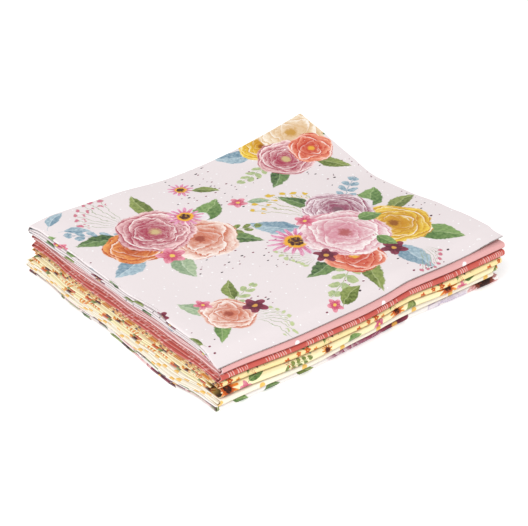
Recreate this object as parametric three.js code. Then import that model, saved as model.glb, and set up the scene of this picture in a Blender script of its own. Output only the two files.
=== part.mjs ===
// A bundle of seven one-yard cuts of quilting cotton, folded alike and stacked.
//
// Each cut is a yard off a 1.1 m wide bolt. It is folded in four across its width, into a strip
// of four plies lying together, and the strip is then folded in half twice along the yard. So a
// folded cut has four passes of the strip, joined by three bends, and a cut is one closed solid:
// that back-and-forth section of the strip, swept along its bends.
//
// Millimetres, +Z up. X runs along the long edge of the stack and Y along the short one. The
// origin is on the surface the stack lies on, under the middle of its box. "Front" is the edge at
// low Y, where the six lower cuts show their round bends; "left" is the edge at low X, where every
// cut shows the edges of its four passes. The top cut is turned end for end: its round bend is at
// the back, and at the front its top pass droops over the set-back ends of the passes below.

import * as THREE from 'three';

// Driving sizes.
const YARD = 914.4;                    // length of a cut along the selvedge
const BOLT_WIDTH = 1092;               // width of a cut between its selvedges (43 in)
const PLIES = 4;                       // plies in the strip, lying together
const PASSES = 4;                      // times the strip crosses the folded cut
const BULK = 8.4;                      // what the bends and loose folding add along the yard
const LENGTH = BOLT_WIDTH / PLIES;     // long edge of the folded stack, along X
const DEPTH = YARD / PASSES + BULK;    // short edge, along Y
const SLIT = 0.15;                     // air between two passes of one cut
const GAP = 0.42;                      // air between two cuts
const PITCH = 5.28;                    // height that a cut takes in the middle of the stack
const STRIP = 1;                       // about the thickness of one pass, four plies lying together
const BEND_REACH = 2.6;                // how far the outer bend's round nose runs in from its tip
const FAR_BEND_REACH = 1.3;
const INNER_BEND_REACH = 1.3;
const INNER_BEND_TIP = 1.5;            // how far the inner bend's tip lies inside the outer one's

// How far the far bend and the strip's two free ends stop short of the cut's edge there.
const EVEN_ENDS = { farBend: 0, topEnd: 0.4, innerEnd: 2.2 };
const SET_BACK_ENDS = { farBend: 7, topEnd: 0, innerEnd: 12 };

// Droop of the top cut's top pass, as distances from the front edge.
const DROOP_START = 14;                // here the pass still lies at its full height
const DROOP_END = 1.5;                 // here it lies on the cut below

// Far corner, where the top cuts curl up.
const CURL_HEIGHT = 15;
const CURL_RUN = 75;                   // how far in from the corner the curl begins
const CURL_POWER = 1.5;

// Height of the stack's top along its edges. Rows run along the edge from the near end.
const FRONT_HEIGHTS = [                // six lower cuts only, at the round bends
  { at: 10, height: 29.6 }, { at: 75, height: 29.5 }, { at: 125, height: 29.5 },
  { at: 170, height: 31.8 }, { at: 220, height: 31.4 }, { at: 262, height: 33.8 },
];
const LEFT_HEIGHTS = [
  { at: 0, height: 37.0 }, { at: 20, height: 40.9 }, { at: 66, height: 41.5 },
  { at: 115, height: 39.0 }, { at: 166, height: 40.5 }, { at: 221, height: 40.2 },
  { at: 237, height: 38.4 },
];
const RIGHT_HEIGHTS = [
  { at: 0, height: 38.0 }, { at: 8, height: 40.2 }, { at: 33, height: 39.7 },
  { at: 60, height: 37.5 }, { at: 100, height: 34.4 }, { at: 138, height: 33.4 },
  { at: 173, height: 36.5 }, { at: 237, height: 37.0 },
];
const BACK_HEIGHTS = [
  { at: 0, height: 38.6 }, { at: 20, height: 41.0 }, { at: 76, height: 40.6 },
  { at: 134, height: 36.3 }, { at: 184, height: 37.6 }, { at: 273, height: 38.0 },
];
const EDGE_FADE = { front: 30, left: 62, right: 84, back: 66 };   // how far in an edge's height is felt
const EDGE_LEVEL = 8;                  // stretch past the edge over which its height begins to fade

// The top cut's right edge draws in where the stack sags behind it.
const DRAW_IN = { at: 135, reach: 80, depth: 3.5 };

// The cuts from the bottom up. "left" and "front" are how far the cut stands out past the
// stack's nominal left and front edges, at the stations below; "right" and "back" are the same
// at the other two edges; "curl" is the share of the far corner's lift that its underside takes.
const LEFT_STATIONS = [10, 45, 90, 130, 170, 215];
const FRONT_STATIONS = [10, 75, 125, 170, 220, 262];
const CUTS = [
  { name: 'cut_1_large_floral', colour: 0xeee2e2, curl: 0, right: -4, back: -1,
    left: [8.7, 9.8, 8.8, 6.3, 9.6, 6.0], front: [3.9, 4.4, 2.7, 0.3, 1.2, 1.6] },
  { name: 'cut_2_golden_spot', colour: 0xf8f2df, curl: 0, right: -8, back: 2,
    left: [6.9, 8.0, 6.5, 5.0, 7.0, 4.5], front: [5.4, 5.6, 3.9, 1.1, 0.7, 1.5] },
  { name: 'cut_3_sunflower', colour: 0xf3e4a4, curl: 0, right: -4.5, back: -2,
    left: [4.5, 4.2, 4.4, 4.0, 5.0, 1.5], front: [4.9, 6.3, 6.2, 3.0, 4.1, 3.1] },
  { name: 'cut_4_sprig', colour: 0xf2dca0, curl: 0.04, right: -1.5, back: 1,
    left: [2.1, 1.6, 1.2, 0.2, 2.0, -1.5], front: [0.9, 3.0, 3.7, 1.9, 3.5, 4.1] },
  { name: 'cut_5_coral_dash', colour: 0xd96a66, curl: 0.16, right: 1, back: -1,
    left: [2.4, 2.6, 1.5, 0.6, 1.2, -2.2], front: [1.0, 2.0, 3.6, 3.1, 3.5, 4.9] },
  { name: 'cut_6_pink_spot', colour: 0xecbcbf, curl: 0.38, right: 1.7, back: 1.5,
    left: [0.7, 0.4, 0.2, -0.8, 0.6, -2.4], front: [0.3, 1.7, 2.4, 2.8, 2.6, 3.8] },
  { name: 'cut_7_garden_floral', colour: 0xece3e4, curl: 0.8, right: 0, back: 1,
    left: [0, 0.4, 0.2, 0, 0.3, 0], front: [0, 0.4, 0.2, 0, 0.3, 0.4] },
];
const TOP = CUTS.length - 1;

// Stations where a pass bends with the stack's surface, shared by all the cuts.
const FRONT_TO_BACK = [8, 20, 62, 112, 165, 214];
const LEFT_TO_RIGHT = [14, 58, 108, 158, 208, 250];
const DROOP_STATIONS = [3, 6, 9, 11.5, 14];
const OUTER_ARC_STEPS = 4;             // straight steps round a bend
const INNER_ARC_STEPS = 3;

// Value between the rows of a table, eased so that it leaves each row level.
function along(places, values, at) {
  if (at <= places[0]) return values[0];
  for (let i = 1; i < places.length; i++) {
    if (at <= places[i]) {
      const share = THREE.MathUtils.smoothstep(at, places[i - 1], places[i]);
      return THREE.MathUtils.lerp(values[i - 1], values[i], share);
    }
  }
  return values[values.length - 1];
}

function edgeHeight(rows, at) {
  return along(rows.map((row) => row.at), rows.map((row) => row.height), at);
}

// Height that one cut takes at x and y, measured from the stack's nominal left front corner.
function cutHeight(x, y) {
  const fade = (distance, reach) => 1 - THREE.MathUtils.smoothstep(distance, -EDGE_LEVEL, reach);
  const front = fade(y, EDGE_FADE.front);
  const rows = [
    { height: edgeHeight(FRONT_HEIGHTS, x) / TOP, weight: front },
    { height: edgeHeight(LEFT_HEIGHTS, y) / CUTS.length, weight: fade(x, EDGE_FADE.left) },
    { height: edgeHeight(RIGHT_HEIGHTS, y) / CUTS.length, weight: fade(LENGTH - x, EDGE_FADE.right) },
    { height: edgeHeight(BACK_HEIGHTS, x) / CUTS.length, weight: fade(DEPTH - y, EDGE_FADE.back) },
  ];
  let height = PITCH;
  rows.forEach((row, i) => {
    height += (row.height - PITCH) * row.weight * (i === 0 ? 1 : 1 - front);
  });
  return height;
}

// Lift of the curled far corner.
function curl(x, y) {
  const inward = (LENGTH - x + DEPTH - y) / Math.SQRT2;
  return CURL_HEIGHT * Math.max(0, 1 - inward / CURL_RUN) ** CURL_POWER;
}

// Height of a point of cut k: "level" is the pass counted up from 0, and "rise" goes from 0 at
// the pass's underside to 1 at its upper side.
function heightIn(k, x, y, level, rise, droop) {
  const cut = CUTS[k];
  const tall = cutHeight(x, y);
  const lift = curl(x, y);
  const spread = k === TOP ? (1 - cut.curl) * lift / (PASSES - 1) : 0;
  const pass = (tall - GAP - SLIT * (PASSES - 1)) / PASSES;
  const step = (pass + SLIT) * droop + spread;
  return k * tall + cut.curl * lift + level * step + rise * pass;
}

// The strip's section, as pairs of points on its two sides: from the free end of the top pass,
// round the outer bend to the bottom pass, round the far bend, round the inner bend and along to
// the other free end. "near" is the edge with the outer bend and "far" the one with the free
// ends. A point on a pass has its "level" and its place "at" along Y; any other is "off" an edge.
function stripSection(stationsOf, ends) {
  const nodes = [];
  const pass = (level, outerRise, towardNear) => {
    const stations = stationsOf(level);
    (towardNear ? [...stations].reverse() : stations).forEach((at) => nodes.push({
      outer: { at, level, rise: outerRise },
      inner: { at, level, rise: 1 - outerRise },
    }));
  };
  // A bend between two passes, with its convex side on the strip's outer side or its inner one.
  const bend = (from, tip, reach, start, end, convexIsOuter, steps) => {
    for (let i = 0; i <= steps; i++) {
      const turn = i / steps * Math.PI;
      const share = (1 - Math.cos(turn)) / 2;
      const round = 1 - Math.sin(turn);
      const low = Math.min(start, end);
      const high = Math.max(start, end);
      const up = start < end ? share : 1 - share;
      const within = tip + STRIP + (reach - STRIP) * round;
      const convex = { from, off: tip + reach * round, low, high, up, lowRise: 0, highRise: 1 };
      const hollow = { from, off: within, low, high, up, lowRise: 1, highRise: 0 };
      nodes.push(convexIsOuter ? { outer: convex, inner: hollow } : { outer: hollow, inner: convex });
    }
  };
  const freeEnd = (level, outerRise, off) => nodes.push({
    outer: { from: 'far', off, level, rise: outerRise },
    inner: { from: 'far', off, level, rise: 1 - outerRise },
  });
  freeEnd(3, 1, ends.topEnd);
  pass(3, 1, true);
  bend('near', 0, BEND_REACH, 3, 0, true, OUTER_ARC_STEPS);
  pass(0, 0, false);
  bend('far', ends.farBend, FAR_BEND_REACH, 0, 1, true, INNER_ARC_STEPS);
  pass(1, 1, true);
  bend('near', INNER_BEND_TIP, INNER_BEND_REACH, 1, 2, false, INNER_ARC_STEPS);
  pass(2, 0, false);
  freeEnd(2, 0, ends.innerEnd);
  return nodes;
}

// Sweeps the section over the stations that "place" is given and closes both ends. Every quad is
// split along the diagonal that runs from low X and Y to high X and Y, so that two faces lying on
// each other bend alike.
function sweepStrip(nodes, stations, place, flip) {
  const ring = [...nodes.map((node) => node.outer), ...nodes.map((node) => node.inner).reverse()];
  const positions = [];
  stations.forEach((station) => ring.forEach((point) => positions.push(...place(point, station))));
  const faces = [];
  const quad = (a, b, c, d) => faces.push(a, b, c, a, c, d);
  const count = ring.length;
  const y = (i) => positions[3 * i + 1];
  for (let s = 0; s + 1 < stations.length; s++) {
    for (let i = 0; i < count; i++) {
      const next = (i + 1) % count;
      const [a, b, c, d] = [s * count + i, s * count + next, (s + 1) * count + next, (s + 1) * count + i];
      if (y(a) < y(b)) quad(a, b, c, d);
      else quad(b, c, d, a);
    }
  }
  const last = (stations.length - 1) * count;
  for (let i = 0; i + 1 < nodes.length; i++) {
    const facing = count - 1 - i;
    quad(i + 1, i, facing, facing - 1);
    quad(last + i, last + i + 1, last + facing - 1, last + facing);
  }
  if (flip) {
    for (let i = 0; i < faces.length; i += 3) [faces[i], faces[i + 1]] = [faces[i + 1], faces[i]];
  }
  const geometry = new THREE.BufferGeometry();
  geometry.setAttribute('position', new THREE.Float32BufferAttribute(positions, 3));
  geometry.setIndex(faces);
  geometry.computeVertexNormals();
  return geometry;
}

// Edges of cut k, in millimetres from the stack's nominal left front corner.
function edges(k) {
  const cut = CUTS[k];
  const drawIn = (y) => {
    const apart = Math.min(1, Math.abs(y - DRAW_IN.at) / DRAW_IN.reach);
    return k === TOP ? DRAW_IN.depth * (1 - THREE.MathUtils.smoothstep(apart, 0, 1)) : 0;
  };
  return {
    left: (y) => -along(LEFT_STATIONS, cut.left, y),
    right: (y) => LENGTH + cut.right - drawIn(y),
    front: (x) => -along(FRONT_STATIONS, cut.front, x),
    back: () => DEPTH + cut.back,
  };
}

// Height of a section point: on a pass, or part of the way round a bend between two passes.
function pointHeight(k, x, y, point, droopOf) {
  if (point.level !== undefined) {
    return heightIn(k, x, y, point.level, point.rise, droopOf(point.level));
  }
  const low = heightIn(k, x, y, point.low, point.lowRise, droopOf(point.low));
  const high = heightIn(k, x, y, point.high, point.highRise, droopOf(point.high));
  return THREE.MathUtils.lerp(low, high, point.up);
}

// Folded cut k. "turned" puts its outer bend at the back and its free ends at the front. The
// sweep's first and last stations, outside the stack, stand for the cut's own side edges.
function foldedCut(k, nodes, turned) {
  const edge = edges(k);
  const droopAt = (y) => THREE.MathUtils.smoothstep(y, DROOP_END, DROOP_START);
  const place = (point, station) => {
    const nearX = THREE.MathUtils.clamp(station, 0, LENGTH);
    const atFront = (point.from === 'near') !== turned;
    const y = point.at ?? (atFront ? edge.front(nearX) + point.off : edge.back() - point.off);
    const x = station < 0 ? edge.left(y) : station > LENGTH ? edge.right(y) : station;
    const droopOf = (level) => (turned && level === PASSES - 1 ? droopAt(y) : 1);
    return [x, y, pointHeight(k, x, y, point, droopOf)];
  };
  return sweepStrip(nodes, [-1, ...LEFT_TO_RIGHT, LENGTH + 1], place, turned);
}

function lowerCut(k) {
  return foldedCut(k, stripSection(() => FRONT_TO_BACK, EVEN_ENDS), false);
}

function topCut(k) {
  const even = FRONT_TO_BACK.filter((y) => y > DROOP_START).reverse();
  const drooping = [...even, ...[...DROOP_STATIONS].reverse()];
  const stationsOf = (level) => (level === PASSES - 1 ? drooping : even);
  return foldedCut(k, stripSection(stationsOf, SET_BACK_ENDS), true);
}

const group = new THREE.Group();
CUTS.forEach((cut, k) => {
  const geometry = k === TOP ? topCut(k) : lowerCut(k);
  const material = new THREE.MeshStandardMaterial({ color: cut.colour, roughness: 0.9, metalness: 0 });
  const mesh = new THREE.Mesh(geometry, material);
  mesh.name = cut.name;
  group.add(mesh);
});

const box = new THREE.Box3().setFromObject(group);
const middle = box.getCenter(new THREE.Vector3());
group.position.set(-middle.x, -middle.y, -box.min.z);

export default group;
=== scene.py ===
"""A bundle of seven one-yard cuts of quilting cotton, folded alike and stacked, in their printed cloth."""

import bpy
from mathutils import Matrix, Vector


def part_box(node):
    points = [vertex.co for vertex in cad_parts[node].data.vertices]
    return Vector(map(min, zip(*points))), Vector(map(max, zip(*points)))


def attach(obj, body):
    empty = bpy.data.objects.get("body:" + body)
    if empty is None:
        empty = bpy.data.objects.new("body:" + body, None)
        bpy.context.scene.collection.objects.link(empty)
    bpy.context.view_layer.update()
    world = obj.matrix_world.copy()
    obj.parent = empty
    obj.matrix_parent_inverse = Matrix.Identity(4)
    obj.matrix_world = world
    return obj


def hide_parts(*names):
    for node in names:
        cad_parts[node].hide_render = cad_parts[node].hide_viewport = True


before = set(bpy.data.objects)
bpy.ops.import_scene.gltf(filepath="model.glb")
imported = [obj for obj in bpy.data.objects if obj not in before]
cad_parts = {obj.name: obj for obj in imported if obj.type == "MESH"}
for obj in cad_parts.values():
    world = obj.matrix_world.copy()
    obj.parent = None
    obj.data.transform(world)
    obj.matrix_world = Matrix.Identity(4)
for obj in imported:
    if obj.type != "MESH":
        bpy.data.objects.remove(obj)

import ast
import logging
import math
import textwrap
from dataclasses import dataclass, field, replace
from enum import Enum

import bpy
import numpy as np
from mathutils import Vector

log = logging.getLogger("yard_bundle")

BODY = "root"
MM = 0.001

# ---------------------------------------------------------------------------------------------
# The stack, in millimetres from its nominal left front corner. X runs along the long edge, Y
# along the short one. The front is the edge at low Y and the left the edge at low X.
# ---------------------------------------------------------------------------------------------

YARD = 914.4                    # length of a cut along the selvedge
BOLT_WIDTH = 1092.0             # width of a cut between its selvedges
LENGTH = BOLT_WIDTH / 4         # long edge of the folded stack
DEPTH = YARD / 4 + 8.4          # short edge, with what the bends and loose folding add
CUT_COUNT = 7
PASSES = 4                      # times the four-ply strip crosses the folded cut
SLIT = 0.15                     # air between two passes of one cut
GAP = 0.42                      # air between two cuts
PITCH = 5.28                    # height that a cut takes in the middle of the stack
STRIP = 1.0                     # about the thickness of one pass, four plies lying together
PLY = 0.15                      # thickness that the cloth is drawn with, so that sixteen plies fit
PLY_DEPTHS = (0.875, 0.125, 0.375, 0.625)   # where the plies lie in the strip, 0 at its inner side

BEND_REACH = 2.1                # how far the outer bend's round nose runs in from its tip
FAR_BEND_REACH = 1.3            # the same of the bend at the other end
INNER_BEND_REACH = 1.3          # the same of the bend that lies inside the outer one
INNER_BEND_TIP = 1.5            # how far the inner bend's tip lies inside the outer one's
ROLL_SHARE = 0.22               # how much rounder an open roll makes the outer bend
OPENED_RUN = 30.0               # stretch of a pass over which it makes room for an open roll
BEND_STEPS, OTHER_BEND_STEPS = 10, 6    # how finely the strip's bends are drawn

# The plies' own bends: how far in a bend's tip is, how far in from there it begins, and its steps.
FOLD, TOP_FOLD = (0.0, 0.75, 8), (0.0, 1.0, 8)      # the fold at the left edge, and the top cut's
MIDDLE_FOLD, INNER_FOLD = (0.0, 0.35, 4), (0.55, 0.3, 4)    # at the right edge, inside the left fold
SELVEDGES_IN = (0.3, 1.5)       # how far in from the right edge the two selvedges lie
IN_BEND = -1                    # stands for the pass of a row that lies in a bend

# Height of the stack's top along its edges, but at the front that of the cut below the turned one:
# distance along the edge, height there.
FRONT_HEIGHTS = ((10, 29.6), (75, 29.5), (125, 29.3), (154, 29.4), (178, 32.0), (220, 31.4), (262, 33.8))
LEFT_HEIGHTS = ((0, 37), (20, 40.9), (66, 41.5), (115, 39), (166, 40.5), (221, 40.2), (237, 38.4))
RIGHT_HEIGHTS = ((0, 38), (8, 40.2), (33, 39.7), (60, 37.5), (100, 34.4), (138, 33.4), (173, 36.5), (237, 37))
BACK_HEIGHTS = ((0, 38.6), (20, 41), (76, 40.6), (134, 36.3), (184, 37.6), (273, 38))
FRONT_FADE, LEFT_FADE, RIGHT_FADE, BACK_FADE = 30.0, 62.0, 84.0, 66.0   # how far in each is felt
EDGE_LEVEL = 8.0                # stretch past an edge over which its height begins to fade

CURL_HEIGHT, CURL_RUN, CURL_POWER = 15.0, 75.0, 1.5     # how the far corner lifts
DRAW_IN_AT, DRAW_IN_REACH, DRAW_IN_DEPTH = 135.0, 80.0, 3.5   # the top cut's right edge draws in

# The top cut's own shape. A span is the two distances between which something builds up.
DROOP_SPAN = (1.5, 14.0)        # from the front: its top pass rises off the cut below
CORNER_SPAN, CORNER_SHARE = (236, 268), 0.6     # from the left: the front corner holds itself up
ROLL_SPAN = (2, 26)             # from the front: its left edge fills out into a roll
PUFF_REACH = 26.0               # how far in the roll is felt
ROLL_NOSE, ROLL_DROP = 6.0, 0.5     # how far in the roll's shoulder begins, and how far it drops
# How far its top pass stands back from its bottom one at the left: distance along, step.
TOP_STEPS = ((4, 0.2), (16, 0.3), (50, -0.6), (87, 2.6), (124, 0.6), (150, 1.0), (185, 3.0), (210, 1.6),
             (234, 1.4))

# The passes of a lower cut stand back in turn, over this share of the way to the next cut's edge.
LEAST_STEP, STEP_SHARE = 0.2, 0.7
SINK, SINK_REACH = 1.9, 50.0    # the lower cuts press down at the left, where the top cut is full
SINK_FULL = 0.2                 # share of the stack's height that the pressing takes to build up
SINK_SPAN = (4, 34)             # from the front: the pressing builds up
OPEN_SPAN = (6, 34)             # from the left: an open roll closes
HOLLOW_SHADE_SPAN = (5, 11)           # from the front: the painted shade inside an open roll ends

# How the left edge wanders along the yard, as waves: height, length, turn for each cut up.
WANDER = ((0.30, 13.1, 1.7), (0.24, 7.3, 3.91), (0.18, 4.1, 6.97))
# Each pass also lies a little in or out there, by a wave: its turn for each pass, and its height in
# the top cut, in the lowest pass of the other cuts and in their other passes, which only lie in.
SWING_TURN, TOP_SWING, LOWEST_SWING, SWING = 5.1, 0.3, 0.6, 1.2

LEFT_STATIONS = (10, 45, 90, 130, 170, 215)
FRONT_STATIONS = (10, 75, 125, 170, 220, 262)

# Places of the mesh lines on every ply. They are shared, so that plies lying together bend alike.
ACROSS = (5, 9, 13, 18, 25, 34, 44, 55, 66, 77, 88, 99, 110, 121, 132, 143, 154, 165, 176, 187, 198,
          208, 218, 228, 237, 245, 252, 258, 261.5)
ALONG = (4, 8, 12, 16, 20, 26, 34, 43, 53, 64, 75, 86, 97, 108, 119, 130, 141, 152, 163, 174, 185,
         196, 206, 215, 222, 227, 230.5)
# Lines that the top ply has besides: some near its edges, and one in the middle of each wide gap.
EXTRA_ACROSS, EXTRA_ALONG = (2.5,), (2.2, 5.5, 10, 14)
GAPS_FROM, GAPS_TO, HALF_GAP = 43, 205, 5.5

# Layout of the map that the colours are baked to: the printed side, the rim, then the wrong side.
RIGHT_SIDE_TOP, RIM_BAND, BACK_BASE = 0.86, (0.87, 0.89), 0.9
# The stretches that show, across and along from the folds, and the share of the map they take.
TOP_SHOWN, TOP_SHARE = ((0, LENGTH), (-6, DEPTH + 6)), 0.62
EDGES_SHOWN, EDGES_SHARE = ((-6, 18), (-9, 9)), 0.3
LEAST_WIDTH = 0.05              # mm that a row or column of the map counts for at least

# Where the cloth lies folded in under itself and takes a painted shade, and where the painted shade inside an
# open roll builds up. A facing is how far down the cloth faces, from -1 straight up to 1 straight down,
# and a depth is its place in the strip's thickness.
BEND_SHADE_FACINGS, BEND_SHADE_DEPTHS = (0.3, 1.0), (0.6, 0.2)
EDGE_SHADE_FACING = 0.6
HOLLOW_SHADE_DEPTHS = (0.7, 0.4)

SHARP_ANGLE = 55.0              # degrees past which an edge of the mesh is shown sharp
MEASURED_ROW = 10               # a row of the top pass, on which the distances across are measured


def eased(rows: tuple, at: np.ndarray) -> np.ndarray:
    """Value between the rows of a table, leaving each row level.

    Args:
        rows: pairs of a place and the value there, in order of place.
        at: the places asked for.
    Returns:
        The values there.
    """
    places, values = (np.array(column, float) for column in zip(*rows))
    i = np.clip(np.searchsorted(places, at) - 1, 0, len(places) - 2)
    share = np.clip((at - places[i]) / (places[i + 1] - places[i]), 0, 1)
    return values[i] + (values[i + 1] - values[i]) * share * share * (3 - 2 * share)


def smooth(at: np.ndarray, start: float, end: float) -> np.ndarray:
    """Eased rise from 0 at start to 1 at end."""
    share = np.clip((at - start) / (end - start), 0, 1)
    return share * share * (3 - 2 * share)


def finer(places: tuple, extra: tuple) -> list[float]:
    """Mesh lines for the ply in full sight: those given, the extra ones and one in each wide gap."""
    return sorted({*places, *extra, *[at + HALF_GAP for at in places if GAPS_FROM <= at < GAPS_TO]})


@dataclass(frozen=True)
class Ends:
    """How far the far bend and the strip's two free ends stop short of the cut's edge there."""

    far_bend: float
    top_end: float
    inner_end: float


EVEN_ENDS = Ends(0.0, 0.4, 2.2)             # of the lower cuts, whose free ends are at the back
SET_BACK_ENDS = Ends(9.5, 0.0, 14.0)        # of the turned cut: they are in sight at the front


class Edge(Enum):
    """End of the folded strip that a point is measured from: the outer bend's end, or the other."""

    NEAR = "near"
    FAR = "far"


@dataclass(frozen=True)
class Place:
    """A point of the strip's section.

    Args:
        low, high: the two passes that it lies between, or twice the one it lies in.
        low_rise, high_rise: where in each, from 0 at its underside to 1 at its upper side.
        up: share of the way from the low one to the high one.
        at: its distance along Y, unless it is measured from an edge.
        edge, off: the edge that it is measured from, and how far in from there it lies.
        opened: share of the cut's open roll that moves the point in.
    """

    low: int
    high: int
    low_rise: float
    high_rise: float
    up: float = 0.0
    at: float | None = None
    edge: Edge = Edge.NEAR
    off: float = 0.0
    opened: float = 0.0


@dataclass(frozen=True)
class Turn:
    """A point of the plies' section.

    Args:
        depth: its place in the strip's thickness, 0 at the inner side and 1 at the outer one.
        at: its distance along X, unless it is measured from an edge.
        left, off: whether that edge is the left one, and how far in from there it lies.
    """

    depth: float
    at: float | None = None
    left: bool = True
    off: float = 0.0


def nose(start: float, stop: float, fold: tuple, left: bool = True) -> list[Turn]:
    """A bend between two plies, at the left or right edge.

    Args:
        start, stop: depths of the two plies.
        fold: how far in its tip is, how far in from there it begins, and its steps.
        left: whether it is at the left edge.
    Returns:
        Its points in turn.
    """
    tip, reach, steps = fold
    turns = []
    for i in range(steps + 1):
        angle = i / steps * math.pi
        depth = start + (stop - start) * (1 - math.cos(angle)) / 2
        turns.append(Turn(depth, left=left, off=tip + reach * (1 - math.sin(angle))))
    return turns


@dataclass(frozen=True)
class Grid:
    """The cloth's middle surface, in rows along the yard and columns across it.

    Args:
        points: the points, in mm.
        across: each column's distance across from the fold at the left edge.
        along: each row's distance along from the front.
        passes: the pass that each row lies in, or IN_BEND.
    """

    points: np.ndarray
    across: np.ndarray
    along: np.ndarray
    passes: np.ndarray

    def normals(self) -> np.ndarray:
        """Works out how the cloth faces.

        Returns:
            The direction of its one side at each point, a unit long.
        """
        down, over = np.gradient(self.points, axis=0), np.gradient(self.points, axis=1)
        facing = np.cross(over, down)
        return facing / np.maximum(np.linalg.norm(facing, axis=2, keepdims=True), 1e-9)


@dataclass(frozen=True)
class YardCut:
    """One yard cut, folded in four across its width and in four along the yard.

    Args:
        name: the cut's name, which is also its solid's.
        level: its place in the stack, 0 at the bottom.
        left, front: how far it stands out past the nominal edges, at the stations.
        right, back: the same at the other two edges.
        curl: share of the far corner's lift that its underside takes.
        turned: whether its round bend is at the back and its free ends at the front.
        open_roll: how far the inner bend stands back from the outer one at the near corner.
        puff: height that the top pass takes from those below at the left edge.
        shade_from: how far the left edge's plies face down where they begin to take the painted shade of
        creases, from -1 straight up to 1 straight down.
        above: how far the next cut up stands out at the left, at the same stations.
    """

    name: str
    level: int
    left: tuple
    front: tuple
    right: float
    back: float
    curl: float
    turned: bool = False
    open_roll: float = 0.0
    puff: float = 0.0
    shade_from: float = -0.25
    above: tuple = ()

    # -- the stack's heights -------------------------------------------------------------------

    def height(self, x: np.ndarray, y: np.ndarray) -> np.ndarray:
        """Height that one cut takes.

        Args:
            x, y: where.
        Returns:
            The height from one cut's underside to the next one's.
        """
        front = 1 - smooth(y, -EDGE_LEVEL, FRONT_FADE)
        tall = np.full(np.broadcast(x, y).shape, PITCH)
        tall = tall + (eased(FRONT_HEIGHTS, x) / (CUT_COUNT - 1) - PITCH) * front
        for rows, along, away, reach in (
            (LEFT_HEIGHTS, y, x, LEFT_FADE),
            (RIGHT_HEIGHTS, y, LENGTH - x, RIGHT_FADE),
            (BACK_HEIGHTS, x, DEPTH - y, BACK_FADE),
        ):
            weight = (1 - smooth(away, -EDGE_LEVEL, reach)) * (1 - front)
            tall = tall + (eased(rows, along) / CUT_COUNT - PITCH) * weight
        return tall

    def height_in(self, x: np.ndarray, y: np.ndarray, level: int, rise: np.ndarray) -> np.ndarray:
        """Height of a point in this cut.

        Args:
            x, y: where it is.
            level: the pass, counted up from 0.
            rise: 0 at the pass's underside to 1 at its upper side.
        Returns:
            The height above the surface that the stack lies on.
        """
        tall = self.height(x, y)
        inward = (LENGTH - x + DEPTH - y) / math.sqrt(2)
        lift = CURL_HEIGHT * np.maximum(0, 1 - inward / CURL_RUN) ** CURL_POWER
        spread = (1 - self.curl) * lift / (PASSES - 1) if self.turned else 0.0
        droop = np.ones(tall.shape)
        if self.turned and level == PASSES - 1:
            droop = np.maximum(smooth(y, *DROOP_SPAN), CORNER_SHARE * smooth(x, *CORNER_SPAN))
        one = (tall - GAP - SLIT * (PASSES - 1)) / PASSES
        height = self.level * tall + self.curl * lift + level * ((one + SLIT) * droop + spread) + rise * one
        if self.puff:
            puff = self.puff * (1 - smooth(x, 0, PUFF_REACH)) * smooth(y, *ROLL_SPAN)
            height = height - puff * (1 - rise if level == PASSES - 1 else (level + rise) / (PASSES - 1))
        share = height / (CUT_COUNT * tall)
        sink = SINK * (1 - smooth(x, -EDGE_LEVEL, SINK_REACH)) * smooth(y, *SINK_SPAN)
        return height - sink * np.clip(np.minimum(share / SINK_FULL, (1 - share) * CUT_COUNT), 0, 1)

    # -- the edges -----------------------------------------------------------------------------

    def left_edge(self, y: np.ndarray) -> np.ndarray:
        """X of the left edge at y."""
        return -eased(tuple(zip(LEFT_STATIONS, self.left)), y)

    def right_edge(self, y: np.ndarray) -> np.ndarray:
        """X of the right edge at y."""
        apart = np.clip(np.abs(y - DRAW_IN_AT) / DRAW_IN_REACH, 0, 1)
        return LENGTH + self.right - (DRAW_IN_DEPTH * (1 - smooth(apart, 0, 1)) if self.turned else 0.0)

    def end(self, edge: Edge, x: np.ndarray, off: np.ndarray) -> np.ndarray:
        """Y of points off one end of the folded strip.

        Args:
            edge: the end.
            x: where along it they are.
            off: how far in from it they are.
        Returns:
            Their distance along Y.
        """
        at_front = (edge is Edge.NEAR) != self.turned
        if at_front:
            return -eased(tuple(zip(FRONT_STATIONS, self.front)), x) + off
        return DEPTH + self.back - off

    def opening(self, x: np.ndarray) -> np.ndarray:
        """How far the inner bend stands back at x."""
        return self.open_roll * (1 - smooth(x, *OPEN_SPAN))

    def step(self, y: np.ndarray) -> np.ndarray:
        """How far the top pass stands back from the bottom one at the left edge.

        Args:
            y: where along it.
        Returns:
            The distance at each y.
        """
        if self.turned:
            return eased(TOP_STEPS, y)
        above = eased(tuple(zip(LEFT_STATIONS, self.above)), y)
        return LEAST_STEP + STEP_SHARE * np.maximum(-self.left_edge(y) - above, 0)

    def set_in(self, y: np.ndarray, level: float, run: float) -> np.ndarray:
        """How far the plies lie in from the left edge.

        Args:
            y: where along it.
            level: the pass, counted up from 0, or a place between two.
            run: distance along the yard.
        Returns:
            The distance at each y.
        """
        wander = sum(high * math.sin(run / long + turn * self.level) for high, long, turn in WANDER)
        swing = math.sin(SWING_TURN * level + self.level)
        if self.turned:
            swing = TOP_SWING * swing
        else:
            swing = LOWEST_SWING * swing if level < 0.5 else SWING * abs(swing)
        return self.step(y) * level / (PASSES - 1) + wander + swing

    # -- the sections --------------------------------------------------------------------------

    def strip_section(self) -> list[tuple[Place, Place]]:
        """The strip, from the top pass's free end to the other end.

        Returns:
            Pairs of an outer and an inner point.
        """
        ends = SET_BACK_ENDS if self.turned else EVEN_ENDS
        inner_runs = [y for y in ALONG if not self.turned or y > DROOP_SPAN[1]]
        top_runs = finer(ALONG, EXTRA_ALONG) if self.turned else ALONG
        section: list[tuple[Place, Place]] = []

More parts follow.
